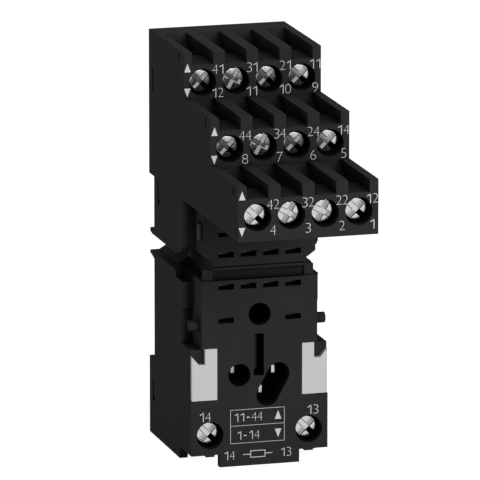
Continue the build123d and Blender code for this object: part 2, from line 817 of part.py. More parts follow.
# Third module contact, held in the wall behind its hole
with BuildPart() as module_contact:
    with BuildSketch(level(lower_front + 2.0)):
        with Locations(module_low):
            Rectangle(blade_gauge, blade_height)
    extrude(amount=lower_front + 2.0 - seat_front - blade_set_back)
    with BuildSketch(level(lower_front + 0.9)):
        with Locations(module_low):
            Rectangle(3.0, 3.0)
    extrude(amount=0.8)
module_contact.part.label = "module_contact"
export_step(module_contact.part, "parts/module_contact.step")
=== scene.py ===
# %% [markdown]
# A three-tier relay socket, dressed for its picture
#
# The solids of this socket come from its CAD source, already in place and in metres.
# Blender adds what a photograph shows and a solid does not: the finish of each surface,
# the pressed screw heads and the numbers printed beside them.
# The CAD solids stay where they are, so everything new is measured from them.

# %% Load the frame
import math

import bmesh
import bpy
from mathutils import Matrix, Vector


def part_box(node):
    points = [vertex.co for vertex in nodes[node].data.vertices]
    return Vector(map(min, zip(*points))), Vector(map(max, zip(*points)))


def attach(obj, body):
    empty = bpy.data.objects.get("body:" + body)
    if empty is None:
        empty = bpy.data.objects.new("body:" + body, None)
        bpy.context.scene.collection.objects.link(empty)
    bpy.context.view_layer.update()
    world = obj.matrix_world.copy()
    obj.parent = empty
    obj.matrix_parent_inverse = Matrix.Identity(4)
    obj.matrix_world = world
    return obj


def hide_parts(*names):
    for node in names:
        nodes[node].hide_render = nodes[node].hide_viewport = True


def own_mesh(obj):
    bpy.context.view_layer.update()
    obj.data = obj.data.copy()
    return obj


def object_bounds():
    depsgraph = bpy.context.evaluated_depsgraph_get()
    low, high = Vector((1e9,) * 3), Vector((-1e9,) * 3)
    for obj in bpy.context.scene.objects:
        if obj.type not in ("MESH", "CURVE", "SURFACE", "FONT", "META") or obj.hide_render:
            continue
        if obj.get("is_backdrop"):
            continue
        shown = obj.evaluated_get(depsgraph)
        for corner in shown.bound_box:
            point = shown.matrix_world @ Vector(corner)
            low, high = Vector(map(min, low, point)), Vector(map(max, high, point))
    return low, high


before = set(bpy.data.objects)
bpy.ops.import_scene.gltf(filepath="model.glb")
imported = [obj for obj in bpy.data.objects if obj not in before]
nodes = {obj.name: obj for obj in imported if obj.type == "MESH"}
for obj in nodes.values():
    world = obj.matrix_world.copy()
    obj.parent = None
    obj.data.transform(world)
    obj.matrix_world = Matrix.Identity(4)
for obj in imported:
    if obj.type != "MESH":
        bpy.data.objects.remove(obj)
cad_low, cad_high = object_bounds()
print("CAD box in mm:", [round(v * 1000, 2) for v in (*cad_low, *cad_high)])

# %% [markdown]
# The camera
#
# A product photograph of this kind is taken from far away with a long lens, a little
# from the left and a little from above. A camera can be aimed with a constraint,
# but three axes written as the columns of a matrix say the same without any guess.
# The two angles, in radians, the place and the lens were fitted to corners of the object.

# %% Camera
turn = 0.27886
rise = 0.22430
camera_place = Vector((-0.3643455, -1.285254, 0.3089898))


def into_scene(name, data):
    made = bpy.data.objects.new(name, data)
    bpy.context.scene.collection.objects.link(made)
    return made


level = math.cos(rise)
to_camera = Vector((-math.sin(turn) * level, -math.cos(turn) * level, math.sin(rise)))
to_right = Vector((math.cos(turn), -math.sin(turn), 0))
upwards = to_camera.cross(to_right)
camera_data = bpy.data.cameras.new("photo_camera")
camera_data.lens = 533.01
camera_data.sensor_width = 36
camera_data.clip_start = 0.05
camera_data.clip_end = 20
camera = into_scene("photo_camera", camera_data)
camera_axes = Matrix((to_right, upwards, to_camera)).transposed().to_4x4()
camera.matrix_world = Matrix.Translation(camera_place) @ camera_axes
bpy.context.scene.camera = camera
bpy.context.scene.view_settings.view_transform = "Standard"
print("camera distance in mm:", round(camera_place.length * 1000, 1))

# %% [markdown]
# Node helpers
#
# Every finish below is a small tree of nodes. Two helpers keep those trees readable:
# one adds a node and sets its inputs, the other joins two sockets.

# %% Node helpers
def add_node(tree, kind, inputs=None, **settings):
    made = tree.nodes.new(kind)
    for name, value in settings.items():
        setattr(made, name, value)
    for name, value in (inputs or {}).items():
        made.inputs[name].default_value = value
    return made


def join(tree, source, target):
    tree.links.new(source, target)


# %% [markdown]
# Who sees the white room
#
# The background of the photograph is plain white, and so is what its metal mirrors.
# Making the lamp strong enough for that would bleach the object. The Light Path node
# is the gentler way: it tells which rays come from the camera, from a glossy surface or
# through a clear one, and only those are shown pure white.

# %% Seen rays
def seen_rays(tree):
    path = add_node(tree, "ShaderNodeLightPath")
    camera_or_gloss = add_node(tree, "ShaderNodeMath", operation="MAXIMUM")
    any_of_three = add_node(tree, "ShaderNodeMath", operation="MAXIMUM")
    join(tree, path.outputs["Is Camera Ray"], camera_or_gloss.inputs[0])
    join(tree, path.outputs["Is Glossy Ray"], camera_or_gloss.inputs[1])
    join(tree, camera_or_gloss.outputs[0], any_of_three.inputs[0])
    join(tree, path.outputs["Is Transmission Ray"], any_of_three.inputs[1])
    return any_of_three.outputs[0]


# %% [markdown]
# The room
#
# A white world stands for a studio with soft light from everywhere. The rays above see
# it at full strength, and the diffuse rays, which light the object, get a calmer level.

# %% World
room_level = 0.62
pure_white = (1, 1, 1, 1)
world = bpy.data.worlds.new("soft_room")
bpy.context.scene.world = world
world.use_nodes = True
tree = world.node_tree
tree.nodes.clear()
room = add_node(tree, "ShaderNodeBackground", {"Color": pure_white, "Strength": room_level})
white = add_node(tree, "ShaderNodeBackground", {"Color": pure_white, "Strength": 1.0})
blend = add_node(tree, "ShaderNodeMixShader")
out = add_node(tree, "ShaderNodeOutputWorld")
join(tree, seen_rays(tree), blend.inputs[0])
join(tree, room.outputs[0], blend.inputs[1])
join(tree, white.outputs[0], blend.inputs[2])
join(tree, blend.outputs[0], out.inputs[0])
print("room level for diffuse rays:", room_level)

# %% [markdown]
# The floor
#
# A sheet of white paper lies under the socket. One large flat grid is enough, because
# the photograph's camera never sees its rim. A matt shader alone would look grey, and a
# glowing one alone would lose the shadow, so the seen rays get a mixture of both.

# %% Floor
floor_reach = 1.5
glow_share = 0.8
glow_strength = 1.2


def new_mesh(name, bm):
    mesh = bpy.data.meshes.new(name)
    bm.to_mesh(mesh)
    bm.free()
    return mesh


bm = bmesh.new()
bmesh.ops.create_grid(bm, x_segments=1, y_segments=1, size=floor_reach)
bmesh.ops.translate(bm, verts=bm.verts, vec=(0, 0, cad_low.z))
floor = into_scene("floor", new_mesh("floor", bm))
floor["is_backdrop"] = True
print("floor height in mm:", round(cad_low.z * 1000, 2))

# %% Floor paper
paper = bpy.data.materials.new("floor_paper")
paper.use_nodes = True
tree = paper.node_tree
tree.nodes.clear()
matt = add_node(tree, "ShaderNodeBsdfDiffuse", {"Color": (0.9, 0.9, 0.9, 1)})
glow = add_node(tree, "ShaderNodeEmission", {"Color": pure_white, "Strength": glow_strength})
share = add_node(tree, "ShaderNodeMath", {1: glow_share}, operation="MULTIPLY")
blend = add_node(tree, "ShaderNodeMixShader")
out = add_node(tree, "ShaderNodeOutputMaterial")
join(tree, seen_rays(tree), share.inputs[0])
join(tree, share.outputs[0], blend.inputs[0])
join(tree, matt.outputs[0], blend.inputs[1])
join(tree, glow.outputs[0], blend.inputs[2])
join(tree, blend.outputs[0], out.inputs[0])
floor.data.materials.append(paper)
print("floor material:", paper.name)

# %% [markdown]
# The lamp
#
# Light from a room alone leaves black plastic without shape. One broad soft box at the
# right front gives the steps their lighter and darker sides, as in the photograph.
# An area lamp is that soft box, and a tracking quaternion aims it at the socket.

# %% Lamp
lamp_place = Vector((0.42, -0.92, 0.42))
lamp_target = Vector((0, -0.03, 0))
lamp_data = bpy.data.lights.new("key_lamp", "AREA")
lamp_data.shape = "RECTANGLE"
lamp_data.size = 0.7
lamp_data.size_y = 0.5
lamp_data.energy = 9.0
lamp = into_scene("key_lamp", lamp_data)
aim = (lamp_target - lamp_place).to_track_quat("-Z", "Y").to_matrix().to_4x4()
lamp.matrix_world = Matrix.Translation(lamp_place) @ aim
print("lamp distance in mm:", round(lamp_place.length * 1000))

# %% [markdown]
# A fine surface
#
# Every skin of this socket has two things in common: the fine grain that a mould or a
# plating bath leaves, and slow cloudy changes of tone. One node group makes both from
# two noises, and each material places it with its own scales. A scale is one over a
# size in metres. The group only gives values and a normal, so colours stay outside.

# %% Fine surface group
fine_surface = bpy.data.node_groups.new("fine_surface", "ShaderNodeTree")
for name in ("Grain Scale", "Cloud Scale", "Depth"):
    fine_surface.interface.new_socket(name, in_out="INPUT", socket_type="NodeSocketFloat")
for name in ("Grain", "Cloud"):
    fine_surface.interface.new_socket(name, in_out="OUTPUT", socket_type="NodeSocketFloat")
fine_surface.interface.new_socket("Normal", in_out="OUTPUT", socket_type="NodeSocketVector")
given = add_node(fine_surface, "NodeGroupInput")
place = add_node(fine_surface, "ShaderNodeTexCoord")
grain = add_node(fine_surface, "ShaderNodeTexNoise", {"Detail": 3.0, "Roughness": 0.6})
cloud = add_node(fine_surface, "ShaderNodeTexNoise", {"Detail": 2.0, "Roughness": 0.5})
bump = add_node(fine_surface, "ShaderNodeBump", {"Strength": 0.35})
out = add_node(fine_surface, "NodeGroupOutput")
join(fine_surface, given.outputs["Grain Scale"], grain.inputs["Scale"])
join(fine_surface, given.outputs["Cloud Scale"], cloud.inputs["Scale"])
join(fine_surface, given.outputs["Depth"], bump.inputs["Distance"])
for noise in (grain, cloud):
    join(fine_surface, place.outputs["Object"], noise.inputs["Vector"])
join(fine_surface, grain.outputs[0], bump.inputs["Height"])
join(fine_surface, grain.outputs[0], out.inputs["Grain"])
join(fine_surface, cloud.outputs[0], out.inputs["Cloud"])
join(fine_surface, bump.outputs["Normal"], out.inputs["Normal"])
print("fine surface nodes:", len(fine_surface.nodes))

# %% [markdown]
# How a finish is put together
#
# A real finish is never one flat colour. Here the clouds mix a darker and a lighter tone,
# the grain moves the roughness between two limits, and its bump bends the normal.
# A Mix node has sockets for numbers, vectors and colours under the same names,
# so the three for colours are named here by their place.

# %% Finish helper
colour_a, colour_b, mixed_colour = 6, 7, 2
mould_skin = {"Grain Scale": 1 / 0.00025, "Cloud Scale": 1 / 0.006, "Depth": 0.00003}
plating = {"Grain Scale": 1 / 0.00012, "Cloud Scale": 1 / 0.0015, "Depth": 0.000008}


def finish_from(name, skin, dark, light, rough, metal=0.0, specular=0.5):
    made = bpy.data.materials.new(name)
    made.use_nodes = True
    tree = made.node_tree
    shader = tree.nodes["Principled BSDF"]
    shader.inputs["Metallic"].default_value = metal
    shader.inputs["Specular IOR Level"].default_value = specular
    effect = add_node(tree, "ShaderNodeGroup", skin, node_tree=fine_surface)
    tones = {colour_a: (*dark, 1), colour_b: (*light, 1)}
    tone = add_node(tree, "ShaderNodeMix", tones, data_type="RGBA")
    limits = add_node(tree, "ShaderNodeMapRange", {"To Min": rough[0], "To Max": rough[1]})
    join(tree, effect.outputs["Cloud"], tone.inputs[0])
    join(tree, tone.outputs[mixed_colour], shader.inputs["Base Color"])
    join(tree, effect.outputs["Grain"], limits.inputs[0])
    join(tree, limits.outputs[0], shader.inputs["Roughness"])
    join(tree, effect.outputs["Normal"], shader.inputs["Normal"])
    return made


# %% [markdown]
# Moulded and printed finishes
#
# The body is a glass-filled black moulding with a fine matt skin. It looks dark grey,
# not black, because its skin scatters a little light, and its gloss is almost nothing.
# The small ribs on the flanks look smoother and shine a little, with a painted highlight in their lighter
# tone.
# The plates are plain light grey plastic, and the print is a slightly warm white.

# %% Moulded and printed finishes
moulding_with_recess_shade = finish_from(
    "black_moulding_recess_shade_skin",
    mould_skin,
    dark=(0.0165, 0.0165, 0.017),
    light=(0.0215, 0.0215, 0.022),
    rough=(0.78, 0.92),
    specular=0.02,
)
# Painted highlight: the ribs' tone is a little lighter than the body's, while their lower roughness is real
# gloss.
rib_painted_highlight = finish_from(
    "rib_painted_highlight_skin",
    mould_skin,
    dark=(0.019, 0.019, 0.0195),
    light=(0.023, 0.023, 0.0235),
    rough=(0.5, 0.65),
    specular=0.2,
)
marking_plate = finish_from(
    "marking_plate_skin",
    mould_skin,
    dark=(0.392, 0.393, 0.392),
    light=(0.432, 0.433, 0.432),
    rough=(0.45, 0.6),
    specular=0.3,
)
print_ink = finish_from(
    "print_ink",
    mould_skin,
    dark=(0.42, 0.42, 0.415),
    light=(0.50, 0.50, 0.495),
    rough=(0.5, 0.65),
    specular=0.2,
)
print("materials so far:", len(bpy.data.materials))

# %% [markdown]
# Metal finishes
#
# Screws and cages are zinc plated: bright, and smooth enough to mirror the room in soft
# patches. The spring is rolled strip, and the contacts are tinned and a little warmer.
# The contacts of the tiers lie deep in the body, so their dull dark tone is painted shade.

# %% Metal finishes
plated_steel = finish_from(
    "plated_steel_skin",
    plating,
    dark=(0.50, 0.50, 0.495),
    light=(0.58, 0.58, 0.575),
    rough=(0.155, 0.175),
    metal=1.0,
)
spring_steel = finish_from(
    "spring_steel_skin",
    plating,
    dark=(0.45, 0.46, 0.48),
    light=(0.56, 0.57, 0.59),
    rough=(0.22, 0.34),
    metal=1.0,
)
contact_metal_with_fork_shade = finish_from(
    "contact_metal_fork_shade_skin",
    plating,
    dark=(0.62, 0.60, 0.56),
    light=(0.74, 0.72, 0.68),
    rough=(0.3, 0.45),
    metal=1.0,
)
# Painted shade: a dark tone on the tinned strips that lie deep in the body.
contact_painted_shade = finish_from(
    "contact_painted_shade_skin",
    plating,
    dark=(0.10, 0.097, 0.09),
    light=(0.16, 0.155, 0.145),
    rough=(0.4, 0.55),
    metal=1.0,
)
print("materials so far:", len(bpy.data.materials))

# %% [markdown]
# Painted shade of deep gaps
#
# Some gaps are far deeper on the real socket than in its solids. Their walls get the
# same moulding in a far darker tone and without any gloss: painted shade, where the real depth lies in
# shadow.

# %% Shades
# Painted shade: near-black plates for the walls of deep slits.
gap_shade = finish_from(
    "painted_gap_shade_skin",
    mould_skin,
    dark=(0.0008, 0.0008, 0.0008),
    light=(0.0014, 0.0014, 0.0014),
    rough=(0.85, 0.95),
    specular=0.0,
)
# Painted shade: dark plates for the notch below the waist.
seat_shade = finish_from(
    "painted_seat_shade_skin",
    mould_skin,
    dark=(0.004, 0.004, 0.004),
    light=(0.006, 0.006, 0.006),
    rough=(0.8, 0.95),
    specular=0.0,
)
print("materials in all:", len(bpy.data.materials))

# %% [markdown]
# Painted shade in recesses
#
# The wire channels, wells and slots of the photograph fall off to almost black.
# Painting that shade into each of them would be slow. The Ambient Occlusion node measures how open a
# point is within some reach, so a map of that value paints shade into every recess at once.
# It looks only at its own object, so a screw in its well doesn't blacken the wall.

# %% Recess group
recess = bpy.data.node_groups.new("recess", "ShaderNodeTree")
recess.interface.new_socket("Reach", in_out="INPUT", socket_type="NodeSocketFloat")
recess.interface.new_socket("Openness", in_out="OUTPUT", socket_type="NodeSocketFloat")
given = add_node(recess, "NodeGroupInput")
look = add_node(recess, "ShaderNodeAmbientOcclusion", samples=12, only_local=True)
closed_to_open = {"From Min": 0.32, "From Max": 0.86, "To Min": 0.16, "To Max": 1.0}
spread = add_node(recess, "ShaderNodeMapRange", closed_to_open)
out = add_node(recess, "NodeGroupOutput")
join(recess, given.outputs["Reach"], look.inputs["Distance"])
join(recess, look.outputs["AO"], spread.inputs[0])
join(recess, spread.outputs[0], out.inputs["Openness"])
print("recess nodes:", len(recess.nodes))


# %% Paint shade into the moulding
# Blends a colour of painted shade into a material's own tone by a share.
def darkened(material, openness, shade):
    tree = material.node_tree
    shader = tree.nodes["Principled BSDF"]
    own_tone = shader.inputs["Base Color"].links[0].from_socket
    mixed = add_node(tree, "ShaderNodeMix", {colour_a: (*shade, 1)}, data_type="RGBA")
    join(tree, openness, mixed.inputs[0])
    join(tree, own_tone, mixed.inputs[colour_b])
    join(tree, mixed.outputs[mixed_colour], shader.inputs["Base Color"])


# Painted shade: the moulding's colour falls to this dark tone where a point is closed in.
recess_reach = 0.007
recess_shade = (0.0015, 0.0015, 0.0015)
tree = moulding_with_recess_shade.node_tree
openness = add_node(tree, "ShaderNodeGroup", {"Reach": recess_reach}, node_tree=recess)
darkened(moulding_with_recess_shade, openness.outputs["Openness"], recess_shade)
print("recesses darkened in:", moulding_with_recess_shade.name)

# %% [markdown]
# Painted shade on the forks, bright blades
#
# The blades behind the module holes are bright, but the forks above them lie deep behind
# the pin slots in shade. Both belong to one strip, so it can't have two materials
# without a seam. The height of a point, mapped to a share, blends in a painted shade instead.

# %% Painted shade on the forks
# Painted shade: above the blades the contacts' colour falls to this dark tone.
blade_top_z = -0.0125
fork_foot_z = -0.0100
fork_painted_shade = (0.08, 0.078, 0.073)
tree = contact_metal_with_fork_shade.node_tree
place = add_node(tree, "ShaderNodeTexCoord")
axes = add_node(tree, "ShaderNodeSeparateXYZ")
unshaded_below = {"From Min": blade_top_z, "From Max": fork_foot_z, "To Min": 1.0, "To Max": 0.0}
unshaded_share = add_node(tree, "ShaderNodeMapRange", unshaded_below)
join(tree, place.outputs["Object"], axes.inputs[0])
join(tree, axes.outputs["Z"], unshaded_share.inputs[0])
darkened(contact_metal_with_fork_shade, unshaded_share.outputs[0], fork_painted_shade)
print("forks turn dull over, in mm:", round((fork_foot_z - blade_top_z) * 1000, 2))

# %% [markdown]
# Dress the CAD nodes
#
# The CAD solids that are right as they are only need their finish. Their names say what
# they are, so the start of a name picks the material. The screws are left out here,
# because pressed ones replace them below.

# %% Dress the CAD nodes
bright_contacts = ("strip_a1", "strip_a2", "module_contact")
finish_of_kind = {
    "strip": contact_painted_shade,
    "cage": plated_steel,
    "label": marking_plate,
    "clip_spring": spring_steel,
    "housing": moulding_with_recess_shade,
    "rear_cover": moulding_with_recess_shade,
    "rail_clip": moulding_with_recess_shade,
}


def finish_of(node):
    if node in bright_contacts:
        return contact_metal_with_fork_shade
    return finish_of_kind.get(node) or finish_of_kind[node.split("_")[0]]


dressed = [name for name in nodes if not name.startswith("screw_")]
for name in dressed:
    mesh = nodes[name].data
    mesh.materials.clear()
    mesh.materials.append(finish_of(name))
print("dressed CAD nodes:", len(dressed))

# %% [markdown]
# Painted shade in the side slits
#
# Narrow slits in both sides are the ends of gaps that run deep between housing and
# cover. The solids cut them only a little way in, so a light wall would show there.
# A dark liner set just below the surface is painted shade: it makes each slit as dark as its real depth in
# shadow.

# %% New pieces
def placed(name, mesh, material):
    mesh.materials.clear()
    mesh.materials.append(material)
    return into_scene(name, mesh)


def box_between(low_corner, high_corner):
    low_corner = Vector(low_corner)
    high_corner = Vector(high_corner)
    bm = bmesh.new()
    bmesh.ops.create_cube(bm, size=1)
    bmesh.ops.scale(bm, vec=high_corner - low_corner, verts=bm.verts)
    bmesh.ops.translate(bm, vec=(high_corner + low_corner) / 2, verts=bm.verts)
    return bm


# %% Slit liners of painted shade
# Each slit: middle in y, middle in z, width along y, height along z.
slit_stations = (
    (-0.01795, 0.0445, 0.0007, 0.0018),
    (-0.03663, 0.0356, 0.0007, 0.0018),
    (-0.05531, 0.02655, 0.0007, 0.0018),
    (0.0008, 0.0364, 0.0007, 0.0044),
    (-0.0029, 0.0155, 0.0007, 0.0038),
    (-0.0032, 0.0133, 0.0014, 0.0007),
    (0.0010, -0.0247, 0.0007, 0.0039),
    (0.0006, -0.0265, 0.0014, 0.0007),
)
slit_depth = 0.0008
clear = 0.00003
liners = bmesh.new()
for side in (-1, 1):
    x_ends = sorted((side * (cad_high.x - clear), side * (cad_high.x - slit_depth + clear)))
    for y, z, wide, high in slit_stations:
        half_y = wide / 2 - clear
        half_z = high / 2 - clear
        block = box_between((x_ends[0], y - half_y, z - half_z), (x_ends[1], y + half_y, z + half_z))
        liners.from_mesh(new_mesh("liner", block))
slit_shade_liners = placed("slit_shade_liners", new_mesh("slit_shade_liners", liners), gap_shade)
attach(slit_shade_liners, "socket")
print("slit liners:", 2 * len(slit_stations))

# %% [markdown]
# Small forms beside the waist
#
# Where the body narrows to its waist, short feet reach behind it into the rail, the lower
# half carries a sloped shelf, and a small rib stands on each flank of the relay seat.
# They are moulded on. A cube with its edges broken by the bevel operator gives each of
# them, because a sharp edge in black plastic would show no line, and a mirrored copy
# gives the other side. Thin plates of painted shade line the notch below the waist, where it lies in
# shadow.

# %% Both sides
def softened(bm, amount):
    edges = bm.edges[:]
    bmesh.ops.bevel(bm, geom=edges, affect="EDGES", offset=amount, segments=2, profile=0.5, material=-1)
    bmesh.ops.recalc_face_normals(bm, faces=bm.faces)
    return bm


def both_sides(name, bm, material):
    mirrored = bmesh.ops.duplicate(bm, geom=bm.verts[:] + bm.edges[:] + bm.faces[:])
    copies = [part for part in mirrored["geom"] if isinstance(part, bmesh.types.BMVert)]
    bmesh.ops.scale(bm, vec=(-1, 1, 1), verts=copies)
    bmesh.ops.recalc_face_normals(bm, faces=bm.faces)
    piece = placed(name, new_mesh(name, bm), material)
    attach(piece, "socket")


# %% Waist pieces
# Each pair: name, lowest and highest corner on the left side, edge rounding, finish.
waist_pieces = (
    ("upper_feet", (-0.01347, 0.0012, 0.0061), (-0.0116, 0.0031, 0.0070), 0.0001, moulding_with_recess_shade),
    ("lower_feet", (-0.01347, 0.0012, 0.0018), (-0.0116, 0.0031, 0.00258), 0.0001, moulding_with_recess_shade),
    ("flank_ribs", (-0.0117, -0.0252, 0.0104), (-0.0106, -0.0244, 0.01345), 0.00012, rib_painted_highlight),
    ("waist_blocks", (-0.01085, -0.0255, 0.0021), (-0.0090, -0.0243, 0.00465), 0.0001, moulding_with_recess_shade),
    # Painted shade: the next two plates line the notch below the waist.
    ("seat_liners", (-0.01200, -0.0204, 0.00132), (-0.0118, -0.0154, 0.00262), 0.00002, seat_shade),
    ("seat_floors", (-0.01345, -0.0204, 0.00132), (-0.0118, -0.0156, 0.00138), 0.00001, seat_shade),
)
for name, low_corner, high_corner, rounding, finish in waist_pieces:
    both_sides(name, softened(box_between(low_corner, high_corner), rounding), finish)
print("pairs beside the waist:", len(waist_pieces))

# %% [markdown]
# The shelf is the same kind of block, but its inner edge stands higher than its outer
# one. Raising the two upper corners on the inside before the bevel makes that slope.

# %% Sloped shelf
shelf_low = (-0.0117, -0.0100, 0.0020)
shelf_high = (-0.0091, 0.0031, 0.00258)
shelf_rise = 0.0015
shelf_middle = (Vector(shelf_low) + Vector(shelf_high)) / 2
shelf = box_between(shelf_low, shelf_high)
for corner in shelf.verts:
    if corner.co.x > shelf_middle.x and corner.co.z > shelf_middle.z:
        corner.co.z += shelf_rise
both_sides("waist_shelves", softened(shelf, 0.00008), moulding_with_recess_shade)
print("shelf rises inwards by, in mm:", round(shelf_rise * 1000, 2))

# %% [markdown]
# The clip's spring
#
# The zigzag spring stands on a stud and is pressed together when the clip is pulled down.
# Its solid is already right, so a copy of it is merged, hung on the socket and given
# its own mesh, and the solid is hidden.

# %% Leaf spring
low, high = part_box("clip_spring")
bm = bmesh.new()
bm.from_mesh(nodes["clip_spring"].data)
bmesh.ops.remove_doubles(bm, verts=bm.verts, dist=1e-7)
bmesh.ops.recalc_face_normals(bm, faces=bm.faces)
leaf_spring = placed("leaf_spring", new_mesh("leaf_spring", bm), spring_steel)
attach(leaf_spring, "socket")
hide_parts("clip_spring")
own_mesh(leaf_spring)

# %% [markdown]
# Clamp screws
#
# Each terminal is clamped by a plated screw whose low head is almost flat in front and
# rounded at its rim. The head and shank are turned parts, so a half profile is spun
# about the axis, which gives every ridge of the thread with one operator.
# The head shows slightly wider in the picture than in the solid, so it grows a little.

# %% Measure one screw
low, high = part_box("screw_41")
head_growth = 1.04
head_radius = (high.x - low.x) / 2 * head_growth
head_height = 0.0017
shank_radius = 0.00145
screw_length = high.y - low.y
print("head diameter and screw length in mm:", round(head_radius * 2000, 2), round(screw_length * 1000, 2))

# %% Head profile
dome = 0.00004
rim = 0.00013
edge_break = 0.00008
face_steps = 8
rim_steps = 5


def head_profile():
    points = [(0, 0, 0)]
    for step in range(1, face_steps + 1):
        out_by = (head_radius - rim) * step / face_steps
        points.append((out_by, dome * (out_by / head_radius) ** 2, 0))
    for step in range(1, rim_steps + 1):
        around = math.radians(90 * step / rim_steps)
        out_by = head_radius - rim * (1 - math.sin(around))
        points.append((out_by, dome + rim * (1 - math.cos(around)), 0))
    points.append((head_radius, head_height - edge_break, 0))
    points.append((head_radius - edge_break, head_height, 0))
    return points


# %% Thread profile
pitch = 0.0005
neck = 0.0002
plain_end = 0.0006
neck_radius = shank_radius * 0.9
root_radius = shank_radius * 0.84
tip_radius = shank_radius * 0.6
crest = (pitch * 0.45, pitch * 0.55)
turns = int((screw_length - head_height - plain_end) / pitch)


def thread_profile():
    points = [(neck_radius, head_height, 0)]
    for turn_number in range(turns):
        start = head_height + neck + turn_number * pitch
        points.append((root_radius, start, 0))
        points.append((shank_radius, start + crest[0], 0))
        points.append((shank_radius, start + crest[1], 0))
    points.append((root_radius, head_height + neck + turns * pitch, 0))
    points.append((tip_radius, screw_length, 0))
    points.append((0, screw_length, 0))
    return points


# %% Spin the blank
spin_steps = 56


def spun(points):
    bm = bmesh.new()
    corners = [bm.verts.new(point) for point in points]
    edges = [bm.edges.new(pair) for pair in zip(corners, corners[1:])]
    bmesh.ops.spin(
        bm,
        geom=corners + edges,
        cent=(0, 0, 0),
        axis=(0, 1, 0),
        angle=math.tau,
        steps=spin_steps,
        use_merge=True,
    )
    bmesh.ops.remove_doubles(bm, verts=bm.verts, dist=1e-7)
    bmesh.ops.recalc_face_normals(bm, faces=bm.faces)
    return bm


blank = new_mesh("screw_blank", spun(head_profile() + thread_profile()))
print("screw blank faces:", len(blank.polygons))

# %% [markdown]
# The cross in the head
#
# The head is pressed with a cross and one full slot through it, so that either driver
# fits. Both are pressed in, which a Boolean difference with bars shows well.
# A deep recess matters: its floor then shows the opposite wall, which keeps it dark or
# light in one piece, and a narrow flare round its mouth draws the thin outline.
# Most slots also run out in a ramp towards one end, which a tilted bar cuts.

# %% Punches
slot_depth = 0.00115
slot_length = 0.006
cross_depth = 0.001
arm_width = 0.00088
arm_span = head_radius * 1.62
flare = 0.00014
flare_depth = 0.00016


def bar(long, wide, deep):
    bm = bmesh.new()
    bmesh.ops.create_cube(bm, size=1)
    bmesh.ops.scale(bm, vec=(long, 2 * deep, wide), verts=bm.verts)
    return bm


def flared(long, wide):
    bm = bar(long, wide, flare_depth)
    for corner in bm.verts:
        if corner.co.y < 0:
            corner.co.x += math.copysign(2 * flare, corner.co.x)
            corner.co.z += math.copysign(2 * flare, corner.co.z)
    return bm


def cross():
    slot = [bar(slot_length, arm_width, slot_depth), flared(slot_length, arm_width)]
    arms = [bar(arm_width, arm_span, cross_depth), flared(arm_width, arm_span)]
    return slot + arms


# %% Ramp
ramp_start = 0.00085
ramp_length = 0.004
ramp_half_depth = 0.001
ramp_angle = math.radians(30)


def ramp():
    bm = bar(ramp_length, arm_width, ramp_half_depth)
    slope = Matrix.Rotation(ramp_angle, 3, "Z")
    corner = slope @ Vector((-ramp_length / 2, ramp_half_depth, 0))
    bmesh.ops.rotate(bm, verts=bm.verts, matrix=slope)
    bmesh.ops.translate(bm, verts=bm.verts, vec=Vector((ramp_start, slot_depth, 0)) - corner)
    return bm


# %% [markdown]
# Modifiers can only cut an object, so the blank and its punches stand in the scene for a
# moment. The result is read as a mesh and all of them are taken out again.

# %% Punch a blank
def evaluated_mesh(made):
    bpy.context.view_layer.update()
    return bpy.data.meshes.new_from_object(made.evaluated_get(bpy.context.evaluated_depsgraph_get()))


def pressed(name, cutters):
    shaper = into_scene(name, blank)
    tools = []
    for number, cutter in enumerate(cutters):
        tool = into_scene(f"{name}_punch_{number}", new_mesh("punch", cutter))
        tools.append(tool)
        cut = shaper.modifiers.new(tool.name, "BOOLEAN")
        cut.object = tool
        cut.operation = "DIFFERENCE"
        cut.solver = "EXACT"
    mesh = evaluated_mesh(shaper)
    for done in (*tools, shaper):
        bpy.data.objects.remove(done)
    return mesh


# %% [markdown]
# The pressed mesh is shaded smooth, so that the turned faces look round, but not across
# edges that turn by more than a set angle, so that the cross keeps its crisp lines.

# %% Press both heads
sharp_angle = math.radians(25)


def half_smooth(mesh):
    bm = bmesh.new()
    bm.from_mesh(mesh)
    bmesh.ops.remove_doubles(bm, verts=bm.verts, dist=1e-7)
    for face in bm.faces:
        face.smooth = True
    for edge in bm.edges:
        edge.smooth = edge.calc_face_angle(0) < sharp_angle
    bm.to_mesh(mesh)
    bm.free()
    return mesh


plain_head = half_smooth(pressed("plain_head", cross()))
ramp_head = half_smooth(pressed("ramp_head", cross() + [ramp()]))
print("pressed screw faces:", len(plain_head.polygons), len(ramp_head.polygons))

# %% [markdown]
# Place the screws
#
# The screws were driven home by hand, so their slots do not stand alike.
# Ten of them have the slot falling to the right, and four stand steeper the other way.
# Each hangs a little in its thread, so its head looks slightly down. Only the front of the
# mesh is sheared along the screw's own axis, so the shank stays straight in its bore.

# %% Place the screws
steep = ("31", "34", "32", "22")
steep_angle = math.radians(-62)
falling_angle = math.radians(45)
lean = 0.04
lean_limit = head_height - 0.0002
screw_names = sorted(name for name in nodes if name.startswith("screw_"))
for name in screw_names:
    low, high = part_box(name)
    is_steep = name.removeprefix("screw_") in steep
    mesh = (plain_head if is_steep else ramp_head).copy()
    mesh.transform(Matrix.Rotation(steep_angle if is_steep else falling_angle, 4, "Y"))
    for corner in mesh.vertices:
        if corner.co.y < lean_limit:
            corner.co.y -= lean * corner.co.z
    mesh.transform(Matrix.Translation(((low.x + high.x) / 2, low.y, (low.z + high.z) / 2)))
    screw = placed(name + "_pressed", mesh, plated_steel)
    smooth = screw.modifiers.new("turned_shading", "WEIGHTED_NORMAL")
    smooth.keep_sharp = True
    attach(screw, name)
    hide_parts(name)
print("screws placed:", len(screw_names))

